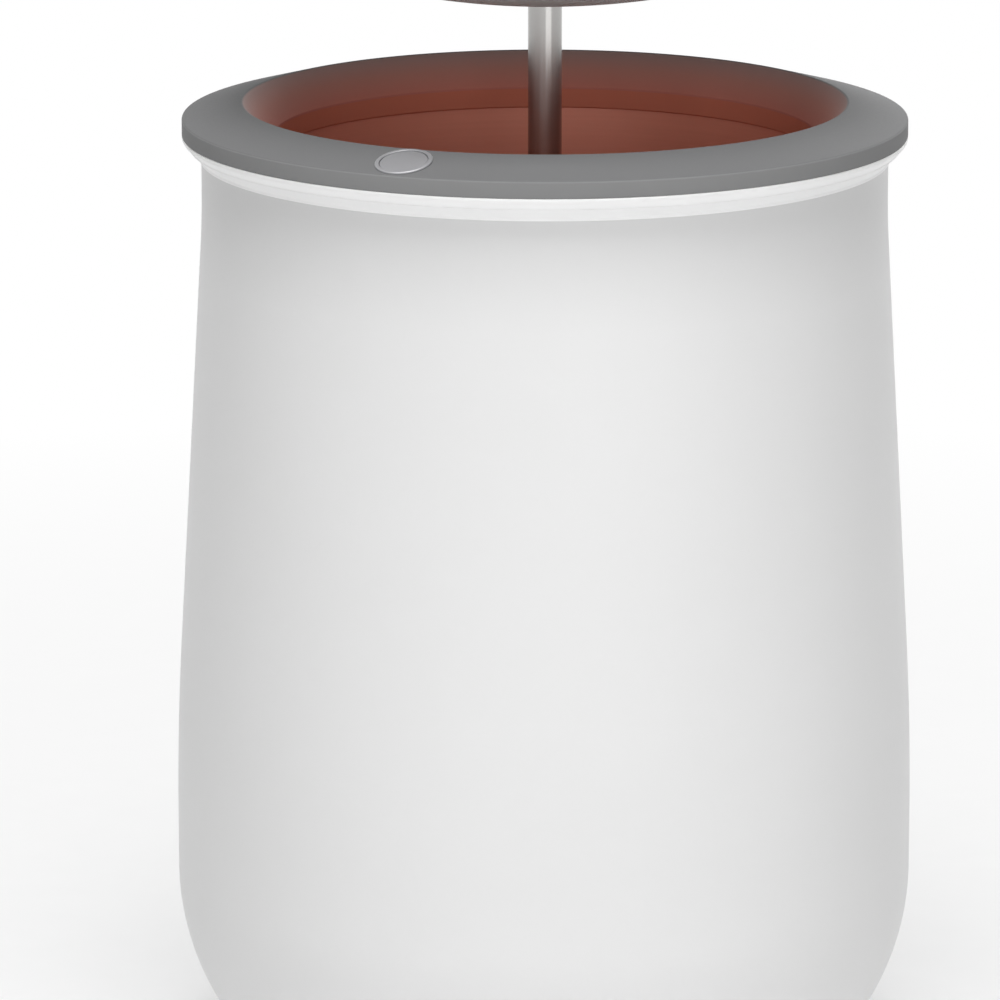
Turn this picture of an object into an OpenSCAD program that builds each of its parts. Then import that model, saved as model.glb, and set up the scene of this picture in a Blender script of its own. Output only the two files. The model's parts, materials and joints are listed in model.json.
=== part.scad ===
// Bucket-shaped towel warmer: a white body with a grey collar and a power button,
// a heated aluminium liner, and a lid that slides up on a rod in the middle.
// Millimetres. The origin is the bottom centre of the feet, +Z up, the button towards -Y.
// The lid is modelled part open.

/* [Overall] */
// Height of the collar's crest above the floor
rim_h = 400; // [390:1:430]
// How far the modelled lid stands above its closed place
lid_open = 68; // [40:1:110]

/* [Collar] */
// Outer diameter of the collar and of the body's lip
collar_d = 300; // [280:1:320]
// Width of the sloped top, from the side in to the crest that the lid closes on
slope_w = 25; // [24.5:0.5:27]
// Height of the upright outer side
collar_side_h = 7; // [6.5:0.5:9]
// Rise of the sloped top from the side to the crest
collar_rise = 6.6; // [5.5:0.1:8]
// Width of the funnel, from the crest in to the skirt
funnel_w = 13; // [12:0.5:14]
// Drop of the funnel from the crest to the skirt
funnel_drop = 14.7; // [14:0.1:16]
// Height of the upright skirt under the funnel
skirt_h = 8.4; // [6:0.2:12]
// Thickness of the sloped top and the side
collar_wall = 2.5; // [2:0.1:2.6]
// Thickness of the funnel
funnel_wall = 2; // [1.5:0.1:2.1]
// Thickness of the skirt
skirt_wall = 1.6; // [1.2:0.1:1.8]
// Rounding of the collar's outer top edge
collar_edge_r = 1; // [0.5:0.1:1.5]
// Rounding of the crest
crest_edge_r = 1.5; // [1:0.1:2]
// Number of stiffening ribs under the sloped top
collar_ribs = 18; // [12:6:24]

/* [Outer shell] */
// Reach of the lip outside the neck
lip_reach = 8; // [7:0.1:9]
// Wall thickness of the body
shell_wall = 3; // [2.5:0.1:3.2]
// Height of the lip's upright face
lip_h = 3.4; // [3:0.1:5]
// Rounding of the lip's lower edge
lip_r = 3; // [2:0.1:4]
// Fillet between the lip and the neck
lip_fillet = 2; // [1:0.1:3]
// Height of the upright part of the neck
neck_h = 11; // [8:1:16]
// Height over which the neck bends into the tapered wall
neck_bend_h = 20; // [14:1:30]
// Outward taper of the wall, in degrees
wall_taper = 3.2; // [3:0.1:3.4]
// Height where the taper runs into the belly
taper_low_z = 170; // [150:2:190]
// Height of the widest place of the belly
belly_z = 100; // [92:1:108]
// Height where the wall starts to turn inward
turn_z = 75; // [70:1:80]
// Radius of that turn
turn_r = 108; // [104:1:112]
// Angle of that turn, in degrees
turn_angle = 30; // [28:1:32]

/* [Base] */
// Height of the feet
foot_h = 6.5; // [5:0.5:8]
// Diameter of a foot
foot_d = 24; // [20:1:28]
// Distance of the feet in from the base plate's screws
foot_inset = 18.5; // [17.5:0.5:26]
// Width of the body's flat ring outside the base plate
base_ring_w = 6; // [5:0.5:8]
// Width of the ledge that the base plate is screwed to
ledge_w = 12; // [10:0.5:14]
// Thickness of the base plate
plate_t = 3; // [2.5:0.5:4]
// Height of the base plate's ribs
plate_rib_h = 5; // [4:0.5:7]
// Number of vent slots in the base plate
plate_slots = 8; // [4:4:8]

/* [Liner and heating] */
// Gap between the collar's skirt and the liner
liner_gap = 0.4; // [0.3:0.1:1]
// Sheet thickness of the liner
liner_wall = 1.2; // [1:0.1:1.4]
// Height of the liner's underside
liner_z = 55; // [52:1:70]
// Inside radius of the liner's bottom corner
liner_corner_r = 14; // [8:1:20]
// Thickness of the gasket under that flange
gasket_t = 1.5; // [1:0.1:1.6]
// Thickness of the heater film
film_t = 1.4; // [1:0.1:2]
// Height of the heater film
film_h = 250; // [200:5:270]
// Thickness of the insulation sleeve
sleeve_t = 13; // [10:0.5:13.5]
// Thickness of the insulation under the liner's floor
floor_pad_t = 8; // [6:0.5:9]

/* [Column] */
// Diameter of the lift rod
rod_d = 14; // [13:0.5:15]
// Outer diameter of the guide tube
guide_d = 20; // [19.5:0.5:21]
// Wall thickness of the guide tube
guide_wall = 1.9; // [1.8:0.1:2]
// Drop of the guide tube's top below the crest
guide_drop = 70; // [60:1:80]
// Length of the friction bush
bush_len = 25; // [20:1:35]
// Gap under the rod's end when the lid is down
rod_end_gap = 18.3; // [10:0.1:40]
// Length of the stop on the rod
stop_len = 10; // [8:1:14]
// Width of the stop's key
key_w = 2.8; // [2:0.1:3]
// Diameter of the column base's flange
column_base_d = 64; // [58:1:72]

/* [Lid] */
// Radius of the dish that forms the lid's underside
dish_r = 318; // [300:1:340]
// Overhang of the lid outside the crest
lid_overhang = 6; // [4:0.5:8]
// Thickness of the dish
pan_wall = 1.6; // [1.4:0.1:2]
// Thickness of the lid's cover
cover_wall = 2.5; // [2:0.1:3]
// Rise of the domed cover over its side
dome_rise = 19; // [16:0.5:24]
// Height of the cover's side
cover_side_h = 9; // [8:0.5:12]
// Height of the seal
seal_h = 3; // [2.5:0.1:4]
// Diameter of the knob
knob_d = 44; // [38:1:52]
// Height of the knob
knob_h = 22; // [18:1:28]

/* [Power button] */
// Outer diameter of the bezel
bezel_d = 23.3; // [22:0.1:24]
// Width of the bezel's lip outside its body
bezel_lip_w = 1.05; // [0.8:0.05:1.5]
// Wall of the bezel's body round the button
bezel_wall = 0.7; // [0.6:0.05:1]
// Gap between the bezel and the button
cap_gap = 0.2; // [0.15:0.05:0.3]
// Thickness of the button's face
cap_t = 2; // [1.6:0.1:2.2]
// Travel of the button
press = 1.2; // [0.8:0.1:1.4]

/* [Cord gland] */
// Height of the gland above the floor
gland_z = 62; // [58:1:70]
// Diameter of the gland's bore
gland_bore_d = 7; // [6:0.5:8]
// Diameter of the gland's flange
gland_flange_d = 22; // [20:0.5:24]
// Diameter of the gland's neck
gland_neck_d = 13; // [11:0.5:14]

/* [Clearances] */
// Running clearance on a radius
run_fit = 0.05; // [0.02:0.01:0.09]
// Gap between parts that are set together
seat_gap = 0.3; // [0.2:0.05:0.4]

/* [Hidden] */

$fn = 64;

// How far a cutter runs past the faces that it cuts
over = 1;

// Radii of the collar and the neck
collar_r = collar_d / 2;
crest_r = collar_r - slope_w;
mouth_r = crest_r - funnel_w;
neck_r = collar_r - lip_reach;

// Heights of the collar
side_top_z = rim_h - collar_rise;
shell_top_z = side_top_z - collar_side_h;
funnel_low_z = rim_h - funnel_drop;
skirt_low_z = funnel_low_z - skirt_h;
slope = atan(collar_rise / slope_w);
funnel_slope = atan(funnel_drop / funnel_w);

// Height of the collar's sloped top, and of its funnel, at a radius
function top_z(r) = side_top_z + (collar_r - r) * tan(slope);
function funnel_z(r) = rim_h - (crest_r - r) * tan(funnel_slope);

// Points along an arc about c, from angle a0 to a1
function arc_points(c, r, a0, a1, n) =
    [for (i = [0:n]) let (a = a0 + (a1 - a0) * i / n) [c[0] + r * cos(a), c[1] + r * sin(a)]];

function reversed(list) = [for (i = [len(list) - 1:-1:0]) list[i]];

// Drop of a dish of a given radius, at a distance r from its middle
function dish_drop(r, radius) = radius - sqrt(radius * radius - r * r);

// Places of the lip and the neck
lip_low_z = shell_top_z - lip_h;
bevel = lip_reach - (lip_r + lip_fillet) * (1 - cos(45));
lip_foot_z = lip_low_z - bevel - (lip_r + lip_fillet) * sin(45);
neck_low_z = lip_foot_z - neck_h;

// Arcs of the body's outline, each one tangent to the next
bend_r = neck_bend_h / sin(wall_taper);
bend_end_r = neck_r + bend_r * (1 - cos(wall_taper));
bend_end_z = neck_low_z - neck_bend_h;
belly_arc_r = (taper_low_z - belly_z) / sin(wall_taper);
belly_r = bend_end_r + (bend_end_z - taper_low_z) * tan(wall_taper)
    + belly_arc_r * (1 - cos(wall_taper));
turn_end_r = belly_r - turn_r * (1 - cos(turn_angle));
turn_end_z = turn_z - turn_r * sin(turn_angle);
base_arc_r = (turn_end_z - foot_h) / (1 - sin(turn_angle));
base_flat_r = turn_end_r - base_arc_r * cos(turn_angle);
base_arc_z = foot_h + base_arc_r;

// Screws for the collar and the base plate
screw_d = 3.5;
screw_head_d = 7;
screw_head_h = 2.2;
screw_slack = 0.6;
screw_end_gap = 3;

// Base plate, its seat in the body and its screws
plate_hole_r = base_flat_r - base_ring_w;
plate_r = plate_hole_r - seat_gap;
plate_top_z = foot_h + plate_t;
ledge_in_r = plate_hole_r - ledge_w;
ledge_top_z = plate_top_z + shell_wall;
ledge_screw_r = plate_hole_r - ledge_w / 2;
ledge_screws = 6;
ledge_boss_d = 9;
ledge_boss_h = 8;
plate_rib_t = 2;
plate_rib_gap = 4;
plate_hub_r = 10;
plate_radial_ribs = 8;
slot_in_r = 34;
slot_out_r = 58;
slot_w = 3.5;

// Feet, with a stem through the base plate and a snap head above it
foot_place_r = ledge_screw_r - foot_inset;
foot_count = 4;
foot_stem_d = 9;
foot_head_d = 11.2;
foot_tip_d = 7;
foot_head_h = 3;
foot_edge = 1;
foot_sole_edge = 2.5;
rib_ring_r = foot_place_r - foot_d / 2 - plate_rib_t;

// Deck in the body's mouth, which carries the liner and the collar
deck_drop = 5;
deck_z = shell_top_z - deck_drop;
deck_low_z = deck_z - shell_wall;
rim_wall = 3;
tongue_depth = 3;
tongue_t = 2;
side_foot_h = 3.3;
tongue_step = 0.5;

// Screw bosses under the collar, which stand on the deck beside the neck's wall
collar_screws_n = 6;
collar_screw_depth = 8;
collar_boss_d = 8;
collar_boss_gap = 1.5;
collar_boss_r = neck_r - shell_wall - collar_boss_gap - collar_boss_d / 2;
boss_skin = 0.8;

// Liner, stacked on the deck: gasket, flange, then the collar's clamping ring
flange_gap = 1.3;
deck_gap = 5.8;
clamp_gap = 4.8;
clamp_t = 2;
liner_in_r = mouth_r + skirt_wall + liner_gap;
liner_out_r = liner_in_r + liner_wall;
liner_flange_r = collar_boss_r - collar_boss_d / 2 - flange_gap;
deck_in_r = liner_out_r + deck_gap;
gasket_in_r = deck_in_r + seat_gap;
flange_low_z = deck_z + gasket_t;
flange_top_z = flange_low_z + liner_wall;
liner_floor_z = liner_z + liner_wall;
clamp_r = liner_out_r + clamp_gap;

// Ribs under the collar's sloped top
collar_rib_t = 1.5;
collar_rib_h = 3;
collar_rib_in = 2;
collar_rib_out = 4;
collar_rib_len = slope_w - collar_rib_in - collar_rib_out;

// Heater film and insulation round the liner
film_fit = 0.1;
film_in_r = liner_out_r + film_fit;
film_out_r = film_in_r + film_t;
film_rise = 15;
film_low_z = liner_z + liner_corner_r + film_rise;
film_gap = 12;
sleeve_in_r = film_out_r + seat_gap;
sleeve_out_r = sleeve_in_r + sleeve_t;
sleeve_low_gap = 2;
sleeve_top_gap = 5;
sleeve_low_z = liner_z + liner_corner_r + sleeve_low_gap;
sleeve_top_z = deck_low_z - sleeve_top_gap;

// Thermostat and thermal fuse under the liner's floor
sensor_r = 64;
sensor_room = 6;
thermostat_d = 17;
thermostat_h = 9.5;
thermostat_cap_t = 2;
terminal_w = 6;
terminal_h = 5.5;
terminal_t = 0.8;
fuse_d = 4;
fuse_len = 16;
fuse_clip_w = 6;
fuse_room = 4;
floor_pad_gap = 6;

// Column on the liner's floor
socket_wall = 4;
socket_h = 28;
socket_floor = 2;
socket_foot = 3;
column_flange_t = 4;
column_edge = 1;
guide_r = guide_d / 2;
guide_in_r = guide_r - guide_wall;
guide_low_z = liner_floor_z + socket_floor;
guide_top_z = rim_h - guide_drop;
bush_flange_t = 3;
bush_low_z = guide_top_z - bush_len;
socket_r = guide_r + run_fit + socket_wall;
column_screw_r = (socket_r + column_base_d / 2) / 2;
column_screw_d = 3;
column_screw_head_d = 6;
column_screw_head_h = 2;
column_screws_n = 4;
backing_t = 3;

// Rod and its stop
rod_r = rod_d / 2;
rod_wall = 2;
rod_solid_len = 20;
rod_low_z = guide_low_z + rod_end_gap + lid_open;
stop_fit = 0.2;
stop_r = guide_in_r - stop_fit;
stop_mid_z = rod_low_z + stop_len / 2;
key_side_gap = 0.2;
key_root = 0.6;
key_tip_gap = 0.5;
key_end = 1;
key_in_r = rod_r + key_root;
key_out_r = guide_r - key_tip_gap;
key_slot_w = key_w + 2 * key_side_gap;
key_slot_end = 2;
key_slot_low_z = rod_low_z - lid_open - key_slot_end;
pin_d = 3;
pin_end_gap = 0.3;
stud_d = 10;
stud_hole_r = stud_d / 2 + 0.2;

// Lid, with its seal on the crest when it is down
lid_r = crest_r + lid_overhang;
seal_w = 5;
seal_bevel = 0.9;
seal_low_z = rim_h + lid_open + seat_gap;
seal_in_r = crest_r - seal_w / 2;
seal_out_r = crest_r + seal_w / 2;
lid_flange_z = seal_low_z + seal_h;
pan_rim_r = seal_in_r - seat_gap;
pan_flange_r = lid_r - cover_wall - seat_gap;
pan_rim_drop = 0.8;
dish_rim_z = rim_h + lid_open - pan_rim_drop;
dish_low_z = dish_rim_z - dish_drop(pan_rim_r, dish_r);
dish_centre_z = dish_low_z + dish_r;
cover_lap = 2;
cover_low_z = lid_flange_z - cover_lap;
cover_side_z = cover_low_z + cover_side_h;
cover_edge_r = 3;
cover_chamfer = 0.6;
dome_chord_r = lid_r - cover_edge_r;
dome_r = (dome_chord_r * dome_chord_r + dome_rise * dome_rise) / (2 * dome_rise);
cover_top_z = cover_side_z + dome_rise;
dome_centre_z = cover_top_z - dome_r;
hub_flange_r = 26;
hub_flange_t = 3;
hub_r = 12;
hub_fillet = 5;
hub_fit = 0.1;
hub_low_z = dish_centre_z - sqrt(pow(dish_r - pan_wall, 2) - pow(hub_flange_r, 2)) + hub_fit;
hub_top_z = dome_centre_z + sqrt(pow(dome_r - cover_wall, 2) - pow(hub_r, 2)) - hub_fit;
foam_in_gap = 2;
foam_out_gap = 8;

// Knob, screwed onto the rod's stud
knob_fit = 0.05;
knob_stud_depth = 14;
knob_bore_end = 0.3;
knob_low_z = cover_top_z + knob_fit;
knob_r = knob_d / 2;

// Power button, in a frame whose z is square to the sloped top
button_place_r = crest_r + slope_w / 2;
button_z = top_z(button_place_r);
bezel_body_d = bezel_d - 2 * bezel_lip_w;
cap_d = bezel_body_d - 2 * (bezel_wall + cap_gap);
bezel_slack = 0.1;
bezel_lip_t = 0.8;
bezel_chamfer = 0.3;
bezel_depth = 5;
bezel_floor = 1.2;
cap_top = 0.5;
cap_edge = 0.4;
stem_r = 5;
stem_fit = 0.1;
stem_lip_w = 0.8;
stem_lip_t = 1;
stem_low = -bezel_depth - cap_gap - stem_lip_t;
plunger_r = 1.75;
plunger_len = 2.8;
switch_gap = 1.7;
switch_top = stem_low - switch_gap;
switch_h = 3.6;
switch_w = 6;
board_top = switch_top - switch_h;
board_t = 1.6;
board_w = 12;
board_len = 38;
board_post_x = 15;
board_post_d = 5;
board_screw_d = 2.2;
board_screw_head_d = 4;
board_screw_head_h = 1.4;
board_screw_depth = 5;

// Cord gland in the back of the body
gland_lip_t = 3;
gland_edge = 1.2;
gland_seat_depth = 4.5;
gland_seat_y = belly_r - gland_seat_depth;
gland_boss_w = 4;
gland_boss_d = gland_flange_d + 2 * gland_boss_w;
gland_boss_t = 5;
gland_lock_t = 2;
gland_lock_w = 1.75;
gland_lock_d = gland_neck_d + 2 * gland_lock_w;

// Power board on the base plate, and what it carries
board_rise = 8;
board_z = plate_top_z + board_rise;
board_face_z = board_z + board_t;
power_x = 96;
power_y = 64;
power_post_d = 7;
power_post_inset = 5;
power_post_x = power_x / 2 - power_post_inset;
power_post_y = power_y / 2 - power_post_inset;
power_screw_d = 3;
power_screw_head_d = 5.5;
power_screw_head_h = 1.8;
power_screw_depth = 5;
relay_place = [-34, -10];
relay_len = 19;
relay_w = 15.5;
relay_h = 15;
capacitor_xs = [2, 16];
capacitor_y = -14;
capacitor_d = 10;
capacitor_h = 16;
block_len = 36;
block_w = 10;
block_h = 12;
block_inset = 6;
block_ways = 5;
block_hole_d = 4;
block_hole_depth = 5;

// Sleeved lead from the power board, up beside the insulation and to the button's board
lead_d = 4;
lead_x = 36;
lead_r = (sleeve_out_r + neck_r - shell_wall) / 2;
lead_y = -sqrt(lead_r * lead_r - lead_x * lead_x);
lead_foot_y = 6 - power_y / 2;
lead_rise = 18;
lead_low_z = board_z + lead_rise;
lead_high_z = deck_z + 3.4;
lead_slack = 0.75;

// Outline of the body's wall at a depth w under its outer surface, down to an angle
function wall_line(w, end_angle) = concat(
    arc_points([neck_r + bend_r, neck_low_z], bend_r + w, 180, 180 + wall_taper, 4),
    arc_points([belly_r - belly_arc_r, belly_z], belly_arc_r - w, wall_taper, 0, 6),
    arc_points([belly_r - turn_r, turn_z], turn_r - w, 0, -turn_angle, 7),
    arc_points([base_flat_r, base_arc_z], base_arc_r - w, -turn_angle - 4, end_angle, 9));

// Copies children round the axis
module around(n, start = 0) {
    for (i = [0:n - 1]) rotate([0, 0, start + 360 * i / n]) children();
}

// Copies children to the four posts of the power board
module at_power_posts() {
    for (x = [-1, 1], y = [-1, 1]) translate([x * power_post_x, y * power_post_y, 0]) children();
}

// Frame of the button: z square to the collar's top, at its surface
module at_button() {
    translate([0, -button_place_r, button_z]) rotate([slope, 0, 0]) children();
}

// Copies children to the two posts of the button's board
module at_button_posts() {
    at_button() for (x = [-1, 1]) translate([x * board_post_x, 0, 0]) children();
}

// Frame of the gland: z along the cord, outward through the back
module at_gland() {
    translate([0, gland_seat_y, gland_z]) rotate([-90, 0, 0]) children();
}

module ring(r_out, r_in, h) {
    difference() {
        cylinder(r = r_out, h = h);
        translate([0, 0, -over]) cylinder(r = r_in, h = h + 2 * over);
    }
}

// Screw with a domed head under z = 0 and its shank above
module screw(d, length, head_d, head_h) {
    cross_len = head_d * 0.6;
    cross_w = head_d * 0.14;
    cylinder(d = d, h = length);
    difference() {
        translate([0, 0, -head_h]) rotate_extrude() polygon([
            [0, 0], [0, head_h], [head_d / 2, head_h], [head_d / 2, head_h * 0.45], [head_d * 0.36, 0]]);
        for (a = [0, 90]) rotate([0, 0, a]) translate([-cross_len / 2, -cross_w / 2, -head_h - over])
            cube([cross_len, cross_w, head_h / 2 + over]);
    }
}

// Solid that fills the body up to a depth w under its outer surface
module inside_wall(w) {
    rotate_extrude($fn = 128) polygon(concat(
        [[0, neck_low_z]], wall_line(w, -90), [[0, foot_h + w]]));
}

module outer_shell() color("#f1f1f1") {
    inner_end = -asin((base_arc_z - ledge_top_z) / (base_arc_r - shell_wall));
    difference() {
        union() {
            rotate_extrude($fn = 128) polygon(concat(
                [[collar_r - rim_wall, shell_top_z], [collar_r, shell_top_z]],
                arc_points([collar_r - lip_r, lip_low_z], lip_r, 0, -45, 4),
                arc_points([neck_r + lip_fillet, lip_foot_z], lip_fillet, 135, 180, 3),
                wall_line(0, -90),
                [[plate_hole_r, foot_h], [plate_hole_r, plate_top_z], [ledge_in_r, plate_top_z]],
                [[ledge_in_r, ledge_top_z]],
                reversed(wall_line(shell_wall, inner_end)),
                [[neck_r - shell_wall, deck_low_z], [deck_in_r, deck_low_z]],
                [[deck_in_r, deck_z], [collar_r - rim_wall, deck_z]]));
            around(ledge_screws, 90) translate([ledge_screw_r, 0, ledge_top_z - over])
                cylinder(d = ledge_boss_d, h = ledge_boss_h + over);
            intersection() {
                at_gland() translate([0, 0, -gland_boss_t])
                    cylinder(d = gland_boss_d, h = gland_boss_t + gland_seat_depth);
                inside_wall(shell_wall / 2);
            }
        }
        around(ledge_screws, 90) translate([ledge_screw_r, 0, foot_h])
            cylinder(d = screw_d + 2 * run_fit, h = plate_t + shell_wall + ledge_boss_h + over);
        around(collar_screws_n) translate([collar_boss_r, 0, deck_low_z - over])
            cylinder(d = screw_d + screw_slack, h = shell_wall + 2 * over);
        translate([lead_x, lead_y, deck_low_z - over])
            cylinder(r = lead_d / 2 + lead_slack, h = shell_wall + 2 * over);
        at_gland() {
            cylinder(r = gland_flange_d / 2 + seat_gap, h = gland_seat_depth + over);
            translate([0, 0, -gland_boss_t - over])
                cylinder(r = gland_neck_d / 2 + run_fit, h = gland_boss_t + 2 * over);
        }
    }
}

module base_plate() color("#d9d9da") {
    rib_len = ledge_in_r - plate_rib_gap - plate_hub_r;
    cut_z = foot_h - over;
    cut_h = plate_t + 1.5 * over;
    difference() {
        union() {
            translate([0, 0, foot_h]) cylinder(r = plate_r, h = plate_t);
            translate([0, 0, plate_top_z - over])
                ring(rib_ring_r, rib_ring_r - plate_rib_t, plate_rib_h + over);
            around(plate_radial_ribs, 180 / plate_radial_ribs)
                translate([plate_hub_r, -plate_rib_t / 2, plate_top_z - over])
                    cube([rib_len, plate_rib_t, plate_rib_h + over]);
            at_power_posts() translate([0, 0, plate_top_z - over])
                cylinder(d = power_post_d, h = board_rise + over);
        }
        around(plate_slots) {
            translate([slot_in_r, -slot_w / 2, cut_z]) cube([slot_out_r - slot_in_r, slot_w, cut_h]);
            for (r = [slot_in_r, slot_out_r]) translate([r, 0, cut_z]) cylinder(d = slot_w, h = cut_h);
        }
        around(ledge_screws, 90) translate([ledge_screw_r, 0, cut_z])
            cylinder(d = screw_d + screw_slack, h = plate_t + 2 * over);
        around(foot_count, 180 / foot_count) translate([foot_place_r, 0, cut_z])
            cylinder(r = foot_stem_d / 2 + run_fit, h = plate_t + 2 * over);
        at_power_posts() translate([0, 0, plate_top_z])
            cylinder(r = power_screw_d / 2 + run_fit, h = board_rise + over);
    }
}

module base_screws() color("#8f9194") {
    around(ledge_screws, 90) translate([ledge_screw_r, 0, foot_h])
        screw(screw_d, plate_t + shell_wall + ledge_boss_h - screw_end_gap, screw_head_d, screw_head_h);
}

module rubber_feet() color("#2c2c2e") {
    foot_r = foot_d / 2;
    stem_r = foot_stem_d / 2;
    around(foot_count, 180 / foot_count) translate([foot_place_r, 0, 0]) rotate_extrude() polygon([
        [0, 0], [foot_r - foot_sole_edge, 0], [foot_r - foot_edge, foot_edge], [foot_r, foot_h],
        [stem_r, foot_h], [stem_r, plate_top_z], [foot_head_d / 2, plate_top_z],
        [foot_tip_d / 2, plate_top_z + foot_head_h], [0, plate_top_z + foot_head_h]]);
}

module cord_gland() color("#3a3b3d") {
    bore_r = gland_bore_d / 2;
    neck = gland_neck_d / 2;
    flange = gland_flange_d / 2;
    lock = gland_lock_d / 2;
    lock_low = -gland_boss_t - gland_lock_t;
    at_gland() rotate_extrude() polygon([
        [bore_r, lock_low], [neck, lock_low], [lock, lock_low + gland_edge], [lock, -gland_boss_t],
        [neck, -gland_boss_t], [neck, 0], [flange, 0], [flange, gland_lip_t - gland_edge],
        [flange - gland_edge, gland_lip_t], [bore_r, gland_lip_t]]);
}

// Collar moulding: tongue in the body's lip, side, sloped top, crest, funnel and skirt
module collar_skin() {
    tongue_out_r = collar_r - rim_wall - seat_gap;
    tongue_in_r = tongue_out_r - tongue_t;
    side_in_r = collar_r - collar_wall;
    under_drop = collar_wall / cos(slope);
    funnel_under = funnel_wall / cos(funnel_slope);
    skirt_out_r = mouth_r + skirt_wall;
    // Where the undersides of the sloped top and the funnel meet
    join_r = (rim_h - funnel_under - crest_r * tan(funnel_slope)
        - side_top_z - collar_r * tan(slope) + under_drop) / (-tan(slope) - tan(funnel_slope));
    edge_in = collar_edge_r * tan((90 - slope) / 2);
    crest_turn = (180 - slope - funnel_slope) / 2;
    crest_dir = (funnel_slope - slope) / 2;
    crest_c = crest_edge_r / sin(crest_turn);
    rotate_extrude($fn = 128) polygon(concat(
        [[tongue_in_r, shell_top_z - tongue_depth], [tongue_out_r, shell_top_z - tongue_depth]],
        [[tongue_out_r, shell_top_z], [collar_r, shell_top_z]],
        arc_points([collar_r - collar_edge_r, side_top_z - edge_in], collar_edge_r, 0, 90 - slope, 4),
        arc_points([crest_r + crest_c * sin(crest_dir), rim_h - crest_c * cos(crest_dir)],
            crest_edge_r, 90 - slope, 90 + funnel_slope, 4),
        [[mouth_r, funnel_low_z], [mouth_r, skirt_low_z], [skirt_out_r, skirt_low_z]],
        [[skirt_out_r, funnel_z(skirt_out_r) - funnel_under], [join_r, top_z(join_r) - under_drop]],
        [[side_in_r, top_z(side_in_r) - under_drop], [side_in_r, shell_top_z + side_foot_h]],
        [[tongue_in_r, shell_top_z + tongue_step]]));
}

// Ring under the funnel that clamps the liner's flange
module clamp_ring() {
    clamp_out_r = clamp_r + clamp_t;
    rotate_extrude($fn = 128) polygon([
        [clamp_r, flange_top_z], [clamp_out_r, flange_top_z],
        [clamp_out_r, funnel_z(clamp_out_r) - over], [clamp_r, funnel_z(clamp_r) - over]]);
}

// Radial ribs under the sloped top, none beside the button
module collar_rib_set() {
    rib_r = crest_r + collar_rib_in;
    for (i = [2:collar_ribs - 2]) rotate([0, 0, -90 + 360 / collar_ribs * i])
        translate([rib_r, 0, top_z(rib_r)]) rotate([0, slope, 0])
            translate([0, -collar_rib_t / 2, -collar_wall - collar_rib_h])
                cube([collar_rib_len, collar_rib_t, collar_rib_h + collar_wall / 2]);
}

module collar() color("#7d7e80") {
    boss_out_r = collar_boss_r + collar_boss_d / 2;
    difference() {
        union() {
            collar_skin();
            clamp_ring();
            collar_rib_set();
            around(collar_screws_n) translate([collar_boss_r, 0, deck_z])
                cylinder(d = collar_boss_d, h = top_z(boss_out_r) - deck_z - boss_skin);
            at_button_posts() translate([0, 0, board_top])
                cylinder(d = board_post_d, h = -board_top - collar_wall / 2);
        }
        at_button() translate([0, 0, -bezel_depth - over])
            cylinder(r = bezel_body_d / 2 + bezel_slack, h = 2 * bezel_depth + over);
        at_button_posts() translate([0, 0, board_top - over])
            cylinder(r = board_screw_d / 2 + run_fit, h = board_screw_depth + 2 * over);
        around(collar_screws_n) translate([collar_boss_r, 0, deck_z - over])
            cylinder(r = screw_d / 2 + run_fit, h = collar_screw_depth + 2 * over);
    }
}

module collar_screws() color("#8f9194") {
    around(collar_screws_n) translate([collar_boss_r, 0, deck_low_z])
        screw(screw_d, shell_wall + collar_screw_depth, screw_head_d, screw_head_h);
}

module inner_liner() color("#b7a9a2") {
    corner = [liner_in_r - liner_corner_r, liner_floor_z + liner_corner_r];
    difference() {
        rotate_extrude($fn = 128) polygon(concat(
            [[0, liner_z]],
            arc_points(corner, liner_corner_r + liner_wall, -90, 0, 6),
            [[liner_out_r, flange_low_z], [liner_flange_r, flange_low_z]],
            [[liner_flange_r, flange_top_z], [liner_in_r, flange_top_z]],
            arc_points(corner, liner_corner_r, 0, -90, 6),
            [[0, liner_floor_z]]));
        around(column_screws_n, 45) translate([column_screw_r, 0, liner_z - over])
            cylinder(d = column_screw_d + screw_slack, h = liner_wall + 2 * over);
    }
}

module liner_gasket() color("#c8502e") {
    translate([0, 0, deck_z]) ring(liner_flange_r, gasket_in_r, gasket_t);
}

// Silicone heater wrapped round the liner, its two edges apart at the back
module heater_film() color("#b4552f") {
    translate([0, 0, film_low_z]) difference() {
        ring(film_out_r, film_in_r, film_h);
        translate([-film_gap / 2, film_in_r - film_t, -over])
            cube([film_gap, 3 * film_t, film_h + 2 * over]);
    }
}

module insulation_sleeve() color("#e9e2c8") {
    translate([0, 0, sleeve_low_z]) ring(sleeve_out_r, sleeve_in_r, sleeve_top_z - sleeve_low_z);
}

// Pad under the liner's floor, cut away round the column's foot and the sensors
module floor_insulation() color("#e9e2c8") {
    pad_z = liner_z - seat_gap - floor_pad_t;
    cut_h = floor_pad_t + 2 * over;
    window_len = fuse_len + 2 * fuse_room;
    window_w = fuse_clip_w + 2 * fuse_room;
    difference() {
        translate([0, 0, pad_z])
            ring(liner_in_r - liner_corner_r, column_base_d / 2 + floor_pad_gap, floor_pad_t);
        translate([0, sensor_r, pad_z - over]) cylinder(r = thermostat_d / 2 + sensor_room, h = cut_h);
        translate([-window_len / 2, -sensor_r - window_w / 2, pad_z - over])
            cube([window_len, window_w, cut_h]);
    }
}

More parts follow.
